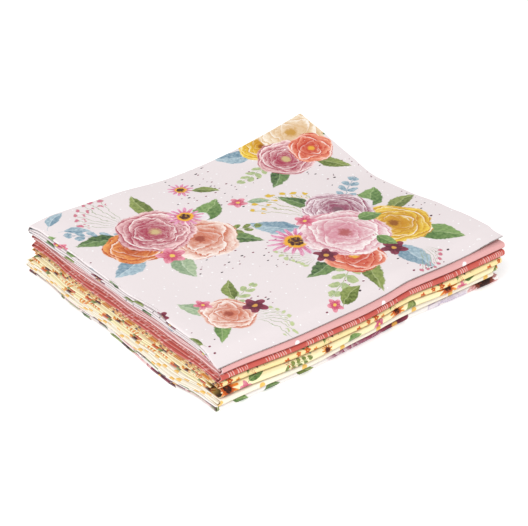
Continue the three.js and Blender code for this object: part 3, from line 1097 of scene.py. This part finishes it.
POSY_REPEAT = Repeat(290, 270, 0.0, (
    # the large posy on the right
    Stamp(SPRIG, SEEDHEAD, 166, 50, 62, 214, 0.2), Stamp(SPRIG, DUSTY_BLUE, 214, 112, 54, 40, 0.2),
    Stamp(SPRAY, BERRY, 186, 104, 60, 96, 1.0), Stamp(SPRAY, SEEDHEAD, 150, 66, 46, 168, 4.0),
    Stamp(LEAF, DARK_GREEN, 158, 58, 44, 196, 0.3), Stamp(LEAF, OLIVE, 172, 40, 42, 246, -0.3),
    Stamp(LEAF, LEAF_GREEN, 226, 46, 40, 306, 0.25, 1.5),
    Stamp(LEAF, DUSTY_BLUE, 202, 40, 40, 276, -0.3, 1.3), Stamp(LEAF, OLIVE, 236, 84, 38, 14, 0.3),
    Stamp(LEAF, LEAF_GREEN, 230, 98, 36, 44, 0.3, 1.4), Stamp(LEAF, DUSTY_BLUE, 162, 106, 42, 132, 0.25, 1.2),
    Stamp(LEAF, DARK_GREEN, 190, 124, 34, 108, -0.2),
    Stamp(BLOSSOM, MIST, 158, 78, 30, 20, 5.0), Stamp(BLOSSOM, MIST, 216, 92, 30, 50, 5.0),
    Stamp(ROSE_HEAD, CORAL, 166, 48, 25, 20, 4.6), Stamp(ROSE_HEAD, GOLD, 223, 66, 32, 60, 7.4),
    Stamp(ROSE_HEAD, PLUM, 204, 110, 30, 100, 8.3), Stamp(DAISY, GAILLARDIA, 146, 92, 22, 10, 17.0),
    Stamp(ROSE_HEAD, BLUSH, 184, 79, 37, 200, 5.6), Stamp(BLOSSOM, WINE, 197, 38, 12, 15, 5.0),
    Stamp(BLOSSOM, PINKS, 172, 112, 10, 40, 5.0), Stamp(LEAF, LEAF_GREEN, 206, 88, 22, 350, 0.3, 1.6),
    Stamp(LEAF, LEAF_GREEN, 200, 60, 20, 280, -0.3, 1.6), Stamp(BLOSSOM, WINE, 150, 62, 11, 50, 5.0),
    Stamp(SPRAY, PINK_BERRY, 214, 30, 34, 262, 3.0),
    # the left-hand posy
    Stamp(SPRIG, DUSTY_BLUE, 52, 178, 50, 146, 0.2), Stamp(SPRIG, OLIVE, 100, 146, 46, 338, -0.2),
    Stamp(SPRAY, PINK_BERRY, 60, 186, 50, 112, 2.0), Stamp(LEAF, DUSTY_BLUE, 42, 148, 40, 204, 0.3, 1.2),
    Stamp(LEAF, DARK_GREEN, 48, 176, 42, 166, -0.25), Stamp(LEAF, OLIVE, 86, 190, 38, 86, 0.3),
    Stamp(LEAF, LEAF_GREEN, 104, 166, 42, 26, -0.3, 1.3), Stamp(LEAF, DARK_GREEN, 100, 134, 40, 318, 0.3),
    Stamp(LEAF, SAGE, 64, 132, 36, 256, -0.2, 1.3), Stamp(BLOSSOM, MIST, 96, 166, 27, 10, 5.0),
    Stamp(ROSE_HEAD, AMBER, 44, 160, 25, 30, 5.5), Stamp(ROSE_HEAD, PEACH, 92, 141, 32, 140, 4.4),
    Stamp(ROSE_HEAD, ROSE, 72, 171, 33, 250, 7.2), Stamp(BLOSSOM, PINKS, 60, 134, 13, 0, 5.0),
    Stamp(DAISY, GAILLARDIA, 104, 176, 15, 30, 15.0),
    # the posy at the far corner
    Stamp(SPRIG, SEEDHEAD, 214, 206, 46, 196, 0.2), Stamp(LEAF, DARK_GREEN, 216, 196, 40, 222, 0.3),
    Stamp(LEAF, OLIVE, 246, 190, 36, 300, -0.3), Stamp(LEAF, DUSTY_BLUE, 210, 222, 36, 150, 0.3, 1.2),
    Stamp(LEAF, LEAF_GREEN, 262, 212, 34, 350, 0.3, 1.3), Stamp(ROSE_HEAD, GOLD, 222, 226, 22, 80, 6.4),
    Stamp(ROSE_HEAD, CREAM, 252, 224, 31, 10, 5.4), Stamp(ROSE_HEAD, ROSE, 226, 200, 26, 300, 6.8),
    Stamp(ROSE_HEAD, CORAL, 252, 198, 20, 200, 4.5),
    # the sprigs near the front corner
    Stamp(SPRIG, SEEDHEAD, 44, 46, 44, 24, 0.2), Stamp(SPRAY, SEEDHEAD, 50, 34, 40, 322, 3.0),
    Stamp(LEAF, SAGE, 38, 48, 32, 128, 0.3, 1.3), Stamp(LEAF, LEAF_GREEN, 36, 36, 30, 226, -0.3),
    Stamp(LEAF, OLIVE, 58, 56, 28, 60, 0.3), Stamp(ROSE_HEAD, PEACH, 42, 42, 22, 60, 4.8),
    Stamp(BLOSSOM, WINE, 64, 40, 11, 15, 5.0), Stamp(BLOSSOM, PINKS, 34, 62, 8, 15, 5.0),
    # strays
    Stamp(LEAF, DUSTY_BLUE, 8, 222, 26, 30, 0.3), Stamp(LEAF, DUSTY_BLUE, 14, 210, 22, 330, 0.2),
    Stamp(DAISY, GAILLARDIA, 128, 214, 11, 15, 12.0), Stamp(LEAF, OLIVE, 134, 208, 24, 320, 0.3),
    Stamp(BLOSSOM, PINKS, 150, 168, 9, 20, 5.0), Stamp(LEAF, SAGE, 156, 164, 20, 330, 0.3),
    Stamp(LEAF, DARK_GREEN, -3, 118, 17, 70, 0.2), Stamp(BLOSSOM, WINE, -1, 66, 8, 15, 5.0),
    Stamp(LEAF, OLIVE, 2, 20, 15, 100, 0.3), Stamp(LEAF, DARK_GREEN, -2, 262, 16, 100, 0.3),
    Stamp(LEAF, DUSTY_BLUE, -2, 160, 18, 250, 0.3), Stamp(BLOSSOM, PINKS, -1, 192, 7, 15, 5.0),
    Stamp(LEAF, OLIVE, 118, 6, 26, 20, 0.3, 1.2), Stamp(BLOSSOM, PINKS, 112, 8, 7, 20, 5.0),
))

SUNNY_REPEAT = Repeat(104, 84, 0.5, (
    Stamp(LEAF, LEAF_GREEN, 24, 2, 16, 14, 0.3), Stamp(LEAF, LEAF_GREEN, 8, 41, 14, 4, 0.2, 1.2),
    Stamp(LEAF, OLIVE, 66, 30, 24, 60, -0.3), Stamp(LEAF, DARK_GREEN, 16, 64, 18, 40, 0.3),
    Stamp(LEAF, OLIVE, 4, 24, 18, 120, -0.3), Stamp(SPRIG, OLIVE, 52, -1, 26, 6, 0.1),
    Stamp(SPRAY, RED_BERRY, 70, 6, 14, 200, 2.0), Stamp(DAISY, SUNFLOWER, 6, 3, 10.5, 0, 14.0),
    Stamp(BLOSSOM, PINKS, 20, -2, 6, 10, 5.0), Stamp(BLOSSOM, EMBER, 2, 30, 6, 10, 5.0),
    Stamp(DAISY, SUNFLOWER, 60, 44, 8, 30, 14.0), Stamp(DAISY, MARIGOLD, 92, 1, 5, 10, 11.0),
    Stamp(BLOSSOM, PINKS, 40, 42, 6, 40, 5.0), Stamp(LEAF, SAGE, 84, 22, 20, 250, 0.2),
    Stamp(DAISY, MARIGOLD, 1, 68, 7, 10, 12.0),
))
SPRIG_REPEAT = Repeat(33, 30, 0.5, (
    Stamp(LEAF, LEAF_GREEN, 9, 2, 6, 40, 0.3), Stamp(LEAF, DARK_GREEN, 9, 2, 5, 150, 0.3),
    Stamp(SPRAY, RED_BERRY, 22, -2, 8, 30, 2.0), Stamp(SPRAY, RED_BERRY, 8, 14, 8, 100, 3.0),
    Stamp(LEAF, OLIVE, 26, 6, 6, 250, 0.3), Stamp(LEAF, MARIGOLD, 0, 4, 10, 90, 0.1, 1.5),
    Stamp(BLOSSOM, EMBER, 9, 1, 3.0, 0, 5.0), Stamp(BLOSSOM, EMBER, 24, 14, 2.9, 0, 5.0),
    Stamp(BLOSSOM, MARIGOLD, 16, -1, 2.6, 0, 5.0), Stamp(BLOSSOM, MARIGOLD, 1, 22, 2.6, 0, 5.0),
    Stamp(BLOSSOM, EMBER, 30, -2, 2.2, 0, 5.0), Stamp(BLOSSOM, EMBER, 1, 1, 2.4, 20, 5.0),
    Stamp(BLOSSOM, EMBER, 0, 27, 2, 0, 5.0),
    Stamp(LEAF, DARK_WINE, 0, 17, 4, 90, 0.1, 1.3),
))
LARGE_REPEAT = Repeat(286, 190, 0.0, (
    Stamp(LEAF, LEAF_GREEN, 14, 2, 16, 340, 0.3), Stamp(LEAF, DARK_GREEN, 40, -3, 16, 12, 0.3),
    Stamp(LEAF, OLIVE, 68, 5, 19, 344, -0.3), Stamp(LEAF, DUSTY_BLUE, 120, 60, 46, 60, 0.3),
    Stamp(ROSE_HEAD, PLUM, 138, 14, 44, 0, 6.0), Stamp(BLOSSOM, WINE, 168, -1, 17, 20, 5.0),
    Stamp(ROSE_HEAD, LILAC, 222, -14, 26, 40, 4.0), Stamp(DAISY, PINK_DAISY, 260, 4, 22, 0, 13.0),
    Stamp(LEAF, DARK_GREEN, 270, 90, 44, 230, 0.3), Stamp(ROSE_HEAD, ROSE, 30, 95, 40, 0, 5.0),
    Stamp(LEAF, OLIVE, 4, 60, 40, 100, 0.2), Stamp(BLOSSOM, WINE, 2, 130, 14, 100, 5.0),
    Stamp(LEAF, DARK_GREEN, -8, 20, 20, 60, 0.2), Stamp(BLOSSOM, DARK_WINE, 1, 84, 8, 10, 5.0),
    Stamp(LEAF, DARK_WINE, 1, 34, 9, 80, 0.2), Stamp(LEAF, DARK_WINE, 1, 140, 10, 95, 0.2),
    Stamp(LEAF, DARK_GREEN, 2, 168, 9, 80, 0.2), Stamp(LEAF, OLIVE, -2, 186, 8, 60, 0.2),
))


class Print:
    """A printed ground. Each print says how its cloth is coloured."""

    def paint(self, cloth: Cloth) -> Socket | tuple:
        """Colours the cloth.

        Args:
            cloth: what the print is drawn with.
        Returns:
            The print's colour.
        """
        raise NotImplementedError


@dataclass(frozen=True)
class PosyPrint(Print):
    """Loose posies of garden flowers on a ground powdered with white pin dots and dark specks."""

    ground: str

    def paint(self, cloth: Cloth) -> Socket:
        """Colours the cloth.

        Args:
            cloth: what the print is drawn with.
        Returns:
            The print's colour.
        """
        colour = cloth.scatter(linear(self.ground), 11, 0.8, 0.7, PIN_WHITE)
        colour = cloth.scatter(colour, 5.5, 0.75, 0.5, SPECK_WINE, long=1.6, shift=31, gathered=True)
        colour = cloth.scatter(colour, 7.5, 0.85, 0.4, SPECK_DARK, long=1.7, shift=77, gathered=True)
        return cloth.stamp(colour, POSY_REPEAT)


@dataclass(frozen=True)
class SpotPrint(Print):
    """Round spots in a half-drop on a plain ground.

    Args:
        ground, spot: the two colours, as sRGB hex.
        width, height: the repeat, in mm.
        radius, edge: the spot's radius and the softness of its edge, in mm.
        shift: how far the spots lie over from the fold, in mm.
    """

    ground: str
    spot: str
    width: float
    height: float
    radius: float
    edge: float = 0.35
    shift: float = 0.0

    def paint(self, cloth: Cloth) -> Socket:
        """Colours the cloth.

        Args:
            cloth: what the print is drawn with.
        Returns:
            The print's colour.
        """
        values = work_out(cloth.tree, """
            column = floor((x - shift) / width + 0.5)
            dx = x - shift - column * width
            dy = (y + column * height / 2 + height / 2) % height - height / 2
            r = sqrt(dx * dx + dy * dy) + wave_x * radius * 0.25
            amount = fade(r, radius + edge, radius - edge)
        """, x=cloth.x, y=cloth.y, wave_x=cloth.wave_x, width=self.width, height=self.height,
            radius=self.radius, edge=self.edge, shift=self.shift)
        return blend(cloth.tree, linear(self.ground), linear(self.spot), values["amount"])


@dataclass(frozen=True)
class StrokePrint(Print):
    """Rows of short plain strokes in loose groups, with bands of them turned a quarter between.

    Args:
        ground, stroke: the two colours, as sRGB hex.
        group, spacing: from one group of strokes to the next and from stroke to stroke, in mm.
        row: from one row to the next, in mm.
        band, band_half: from one turned band to the next, and half a band's width, in mm.
    """

    ground: str
    stroke: str
    group: float = 34.0
    spacing: float = 2.0
    row: float = 7.0
    band: float = LENGTH / 4
    band_half: float = 5.0

    def paint(self, cloth: Cloth) -> Socket:
        """Colours the cloth.

        Args:
            cloth: what the print is drawn with.
        Returns:
            The print's colour.
        """
        values = work_out(cloth.tree, """
            banded = below(abs(x - round(x / band) * band), band_half) * below(x, band_half)
            run = x + (y - x) * banded
            rise = y + (x - y) * banded + 2.5
            gx = run / group
            gy = rise / row
            lot = fract(sin(floor(gx) * 12.9 + floor(gy) * 78.2) * 437.5)
            within = fract(gx)
            slant = run / spacing / (1 + banded * 0.9) + rise * 0.09 + wave_x * 0.4
            line = abs(fract(slant) - 0.5)
            lot_b = fract(sin(floor(slant) * 91.7 + floor(gy) * 33.1) * 951.1)
            tall = 0.16 + 0.26 * lot_b
            thick = 0.08 + 0.12 * lot_b + banded * 0.08
            amount = fade(line, thick + 0.06, thick - 0.04) * fade(abs(fract(gy) - 0.5), tall, tall - 0.08)
            grouped = above(within, 0.06 + 0.1 * lot) * below(within, 0.66 + 0.25 * lot)
            held = amount * max(grouped, banded) * above(lot_b, 0.14 + 0.4 * banded) * (0.85 - 0.4 * banded)
        """, x=cloth.x, y=cloth.y, wave_x=cloth.wave_x, group=self.group, row=self.row,
            spacing=self.spacing, band=self.band, band_half=self.band_half)
        return blend(cloth.tree, linear(self.ground), linear(self.stroke), values["held"])


@dataclass(frozen=True)
class FlowerPrint(Print):
    """Flowers and leaves in a repeat on a plain ground."""

    ground: str
    repeat: Repeat

    def paint(self, cloth: Cloth) -> Socket:
        """Colours the cloth."""
        return cloth.stamp(linear(self.ground), self.repeat)


@dataclass(frozen=True)
class QuiltingCotton:
    """Printed quilting cotton: a plain weave that is matt, with a faint sheen of loose fibre.

    Args:
        name: the material's name.
        print: what is printed on it.
        back: colour of the wrong side, where the dye hardly shows, as sRGB hex.
        crease: painted shade, what the colour is multiplied by inside creases where little light reaches, as
            sRGB hex.
        worn: how far the folds at the left are painted pale, for dye that rubbing takes off and for a painted
            highlight.
    """

    name: str
    print: Print
    back: str
    crease: str
    worn: float = 0.15
    back_share: float = 0.8         # how fully the wrong side takes its own colour
    crease_share: float = 0.95      # how fully creases take their painted shade
    roughness: float = 0.88         # matt cloth
    specular: float = 0.3
    ior: float = 1.46               # cotton
    sheen: float = 0.12             # loose fibre
    sheen_roughness: float = 0.5
    thread: float = 0.85            # mm; the real 0.33 is too fine to show, so it is drawn coarser
    weave_depth: float = 0.035      # mm
    weave_strength: float = 0.6
    wave_size: float = 7.0          # mm; how coarsely the outlines waver
    mottle_size: float = 2.6        # mm; how coarsely the dye is mottled
    drift_size: float = 60.0        # mm; how coarsely its strength drifts

    def material(self) -> bpy.types.Material:
        """Makes the cloth's material.

        Returns:
            The material.
        """
        material = bpy.data.materials.new(self.name)
        material.use_nodes = True
        tree = material.node_tree
        tree.nodes.clear()
        lay = add_node(tree, "ShaderNodeUVMap", {"uv_map": "Cloth"})
        spot = add_node(tree, "ShaderNodeVectorMath", {"operation": "SCALE"},
                        {0: lay.outputs[0], "Scale": 1 / MM}).outputs[0]
        parts = add_node(tree, "ShaderNodeSeparateXYZ", inputs={0: spot})
        waves = add_node(tree, "ShaderNodeTexNoise", {"noise_dimensions": "2D"},
                         {"Vector": spot, "Scale": 1 / self.wave_size, "Detail": 2.0, "Roughness": 0.6})
        wave = add_node(tree, "ShaderNodeSeparateColor", inputs={0: waves.outputs["Color"]})
        pigment = add_node(tree, "ShaderNodeTexNoise", {"noise_dimensions": "2D"},
                           {"Vector": spot, "Scale": 1 / self.mottle_size, "Detail": 2.0,
                            "Roughness": 0.65})
        tone = add_node(tree, "ShaderNodeTexNoise", {"noise_dimensions": "2D"},
                        {"Vector": spot, "Scale": 1 / self.drift_size, "Detail": 1.0})
        values = work_out(tree, """
            wave_x = (wave_a - 0.5) * 2
            wave_y = (wave_b - 0.5) * 2
            grain = (pigment - 0.5) * 3
            slow = (tone - 0.5) * 4
            rubbed = max(fade(abs(x), 0.9, 0.2), fade(abs(x + length), 0.9, 0.2)) * worn
            dim = (tone - 0.5) * 0.10
            weave = sin(x * 3.1416 / thread) * sin(y * 3.1416 / thread) * 0.5 + pigment * 0.8
        """, wave_a=wave.outputs[0], wave_b=wave.outputs[1], pigment=pigment.outputs[0],
            tone=tone.outputs[0], x=parts.outputs[0], y=parts.outputs[1], thread=self.thread,
            worn=self.worn, length=LENGTH)
        cloth = Cloth(tree, parts.outputs[0], parts.outputs[1], values["wave_x"], values["wave_y"],
                      values["grain"], values["slow"], lay.outputs[0])
        colour = self.print.paint(cloth)
        # painted highlight and fold wear: the folds at the left are painted paler
        colour = blend(tree, colour, linear(RUBBED_AND_LIT), values["rubbed"])
        colour = blend(tree, colour, linear(DULLED), values["dim"])
        side = add_node(tree, "ShaderNodeAttribute", {"attribute_name": "wrong_side"})
        tucked = add_node(tree, "ShaderNodeAttribute", {"attribute_name": "tucked"})
        amounts = work_out(tree, """
            faint = side * back_share
            crease = min(tucked, 1) * crease_share
            hollow = max(tucked - 1, 0) * crease_share
        """, side=side.outputs["Fac"], tucked=tucked.outputs["Fac"], back_share=self.back_share,
            crease_share=self.crease_share)
        colour = blend(tree, colour, linear(self.back), amounts["faint"])
        # painted shade: the colour is darkened where the cloth turns in under itself and less light reaches
        # it
        colour = blend(tree, colour, linear(self.crease), amounts["crease"], "MULTIPLY")
        # painted shade: the inside of an open roll is painted dark
        colour = blend(tree, colour, linear(HOLLOW_SHADE), amounts["hollow"])
        bump = add_node(tree, "ShaderNodeBump", inputs={
            "Strength": self.weave_strength, "Distance": self.weave_depth * MM, "Height": values["weave"]})
        shader = add_node(tree, "ShaderNodeBsdfPrincipled", inputs={
            "Base Color": colour, "Roughness": self.roughness, "IOR": self.ior,
            "Sheen Weight": self.sheen, "Sheen Roughness": self.sheen_roughness,
            "Specular IOR Level": self.specular, "Normal": bump.outputs[0]})
        add_node(tree, "ShaderNodeOutputMaterial", inputs={"Surface": shader.outputs[0]})
        return material


# ---------------------------------------------------------------------------------------------
# The bundle
# ---------------------------------------------------------------------------------------------

CUTS = (
    (YardCut("cut_1_large_floral", 0, (7.1, 11.3, 8.2, 5.8, 7.1, 3.4), (6.3, 7.7, 5.3, 2.6, 4.0, 5.4),
             -4.7, -1, 0),
     QuiltingCotton("large_floral_cotton", FlowerPrint("#fcf8f6", LARGE_REPEAT), "#fdfbfa", "#d9d2ca")),
    (YardCut("cut_2_golden_spot", 1, (6.6, 10.8, 8.1, 5.7, 7.5, 5.0), (7.6, 9.7, 6.6, 3.6, 4.3, 5.1),
             -10.5, 2, 0),
     QuiltingCotton("golden_spot_cotton", SpotPrint("#fcf6e4", "#f5c869", 18.5, 23.7, 2.4),
                    "#fefcf6", "#c0ae97")),
    (YardCut("cut_3_sunflower", 2, (3.8, 5.1, 5.7, 5.2, 6.9, 4.3), (6.6, 10.6, 8.4, 4.5, 7.2, 7.3),
             -8.5, -2, 0, open_roll=11.0, shade_from=-0.4),
     QuiltingCotton("sunflower_cotton", FlowerPrint("#fef5c8", SUNNY_REPEAT), "#fdf3c4", "#b09048")),
    (YardCut("cut_4_sprig", 3, (1.3, 2.5, 1.8, 0.9, 2.1, -2.3), (2.6, 7.2, 7.0, 3.4, 6.8, 8.2),
             -5.5, 1, 0.04, shade_from=-0.8),
     QuiltingCotton("sprig_cotton", FlowerPrint("#fce9ac", SPRIG_REPEAT), "#f9e0a2", "#b88a34")),
    (YardCut("cut_5_coral_dash", 4, (1.3, 3.2, 2.0, 1.1, 2.1, -0.7), (2.4, 6.0, 6.8, 3.9, 5.8, 7.9),
             -2.5, -1, 0.16, shade_from=-0.45),
     QuiltingCotton("coral_dash_cotton", StrokePrint("#ce5f54", "#f4cdc6"), "#e29a94", "#8c2016")),
    (YardCut("cut_6_pink_spot", 5, (-1.2, -0.7, -1.1, -2.4, -0.4, -2.6), (1.5, 5.8, 6.2, 3.5, 4.7, 6.4),
             -1.5, 1.5, 0.38, shade_from=-0.45),
     QuiltingCotton("pink_spot_cotton", SpotPrint("#e8afad", "#ffffff", 41, 26, 1.9, shift=63),
                    "#f6d6d8", "#a04440", worn=0.45)),
    (YardCut("cut_7_garden_floral", 6, (0.2, -0.7, -0.4, -1.3, 0.4, 0.6), (0.0, 2.7, 2.1, -0.2, 0.5, 2.3),
             0, 1, 0.8, turned=True, puff=0.8),
     QuiltingCotton("garden_floral_cotton", PosyPrint("#ece2e3"), "#f8f4f4", "#9f9694")),
)


@dataclass
class Bundle:
    """The seven cuts, stacked as placed, and the pieces made of them."""

    cuts: tuple = CUTS
    pieces: list = field(default_factory=list)

    def corner(self) -> Vector:
        """Finds the stack's nominal left front corner from the top cut's solid.

        Returns:
            The corner, in metres.
        """
        top = self.cuts[-1][0]
        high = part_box(top.name)[1]
        return Vector((high[0] - (LENGTH + top.right) * MM, high[1] - (DEPTH + top.back) * MM, 0))

    def build(self) -> None:
        """Makes, dresses and declares every cut."""
        corner = self.corner()
        above = [cut.left for cut, _ in self.cuts[1:]] + [()]
        for (cut, finish), upper in zip(self.cuts, above):
            piece = replace(cut, above=upper).build(corner)
            piece.data.materials.append(finish.material())
            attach(piece, BODY)
            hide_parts(cut.name)
            self.pieces.append(piece)
            log.info("%s: %d faces", piece.name, len(piece.data.polygons))


# ---------------------------------------------------------------------------------------------
# The studio
# ---------------------------------------------------------------------------------------------


@dataclass
class Studio:
    """Camera, floor and soft light. Distances are in metres and angles in degrees.

    Args:
        target, distance: the point that the camera looks at, and how far from it the camera is.
        azimuth, elevation: the side and the height that it looks from.
        lens, sensor: its focal length and the width of its sensor, in mm.
        shift: how far the lens is shifted up, as a share of the sensor.
        clip: the nearest and the farthest that it sees.
        floor_half, floor_colour, floor_glow: half the floor's length, its colour, and how far it
            shines by itself, so that it comes out as even white.
        sky: strength of the white light from all around.
        softbox_at, softbox_width, softbox_power: the soft light's place, width and power in watts.
    """

    target: tuple = (0.0039, 0.0022, 0.018)
    distance: float = 1.3
    azimuth: float = -39.23
    elevation: float = 30.08
    lens: float = 115.0
    sensor: float = 36.0
    shift: float = -0.0199
    clip: tuple = (0.05, 60.0)
    floor_half: float = 6.0
    floor_colour: str = "#f7f7f7"
    floor_glow: float = 0.32
    sky: float = 0.78
    softbox_at: tuple = (-1.4, -0.6, 1.5)
    softbox_width: float = 1.6
    softbox_power: float = 18.0

    def camera(self) -> None:
        """Places the camera."""
        data = bpy.data.cameras.new("camera")
        data.sensor_width, data.lens = self.sensor, self.lens
        data.shift_y = self.shift
        data.clip_start, data.clip_end = self.clip
        camera = bpy.data.objects.new("camera", data)
        turn, rise = math.radians(self.azimuth), math.radians(self.elevation)
        back = Vector((math.sin(turn) * math.cos(rise), -math.cos(turn) * math.cos(rise), math.sin(rise)))
        camera.location = Vector(self.target) + back * self.distance
        camera.rotation_mode = "QUATERNION"
        camera.rotation_quaternion = (-back).to_track_quat("-Z", "Y")
        bpy.context.scene.collection.objects.link(camera)
        bpy.context.scene.camera = camera

    def floor(self) -> None:
        """Lays the floor: matt white board."""
        half = self.floor_half
        mesh = bpy.data.meshes.new("floor")
        corners = [(-half, -half, 0), (half, -half, 0), (half, half, 0), (-half, half, 0)]
        mesh.from_pydata(corners, [], [(0, 1, 2, 3)])
        floor = bpy.data.objects.new("floor", mesh)
        bpy.context.scene.collection.objects.link(floor)
        material = bpy.data.materials.new("white_board")
        material.use_nodes = True
        shader = material.node_tree.nodes["Principled BSDF"]
        for name, value in (
            ("Base Color", linear(self.floor_colour)), ("Roughness", 0.95), ("Specular IOR Level", 0.0),
            ("Emission Color", (1, 1, 1, 1)), ("Emission Strength", self.floor_glow),
        ):
            shader.inputs[name].default_value = value
        mesh.materials.append(material)

    def light(self) -> None:
        """Hangs one large soft light and fills the room with even white."""
        world = bpy.data.worlds.new("room")
        world.use_nodes = True
        room = world.node_tree.nodes["Background"]
        room.inputs[0].default_value = (1, 1, 1, 1)
        room.inputs[1].default_value = self.sky
        bpy.context.scene.world = world
        data = bpy.data.lights.new("softbox", "AREA")
        data.shape, data.size, data.energy = "DISK", self.softbox_width, self.softbox_power
        softbox = bpy.data.objects.new("softbox", data)
        softbox.location = self.softbox_at
        softbox.rotation_mode = "QUATERNION"
        softbox.rotation_quaternion = (-softbox.location).to_track_quat("-Z", "Y")
        bpy.context.scene.collection.objects.link(softbox)
        bpy.context.scene.view_settings.view_transform = "Standard"


def main() -> None:
    """Builds the studio and the bundle."""
    logging.basicConfig(level=logging.INFO, format="%(name)s: %(message)s")
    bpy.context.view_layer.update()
    studio = Studio()
    studio.camera()
    studio.floor()
    studio.light()
    bundle = Bundle()
    bundle.build()
    bpy.context.view_layer.update()
    log.info("%d cuts stacked", len(bundle.pieces))


if __name__ == "__main__":
    main()
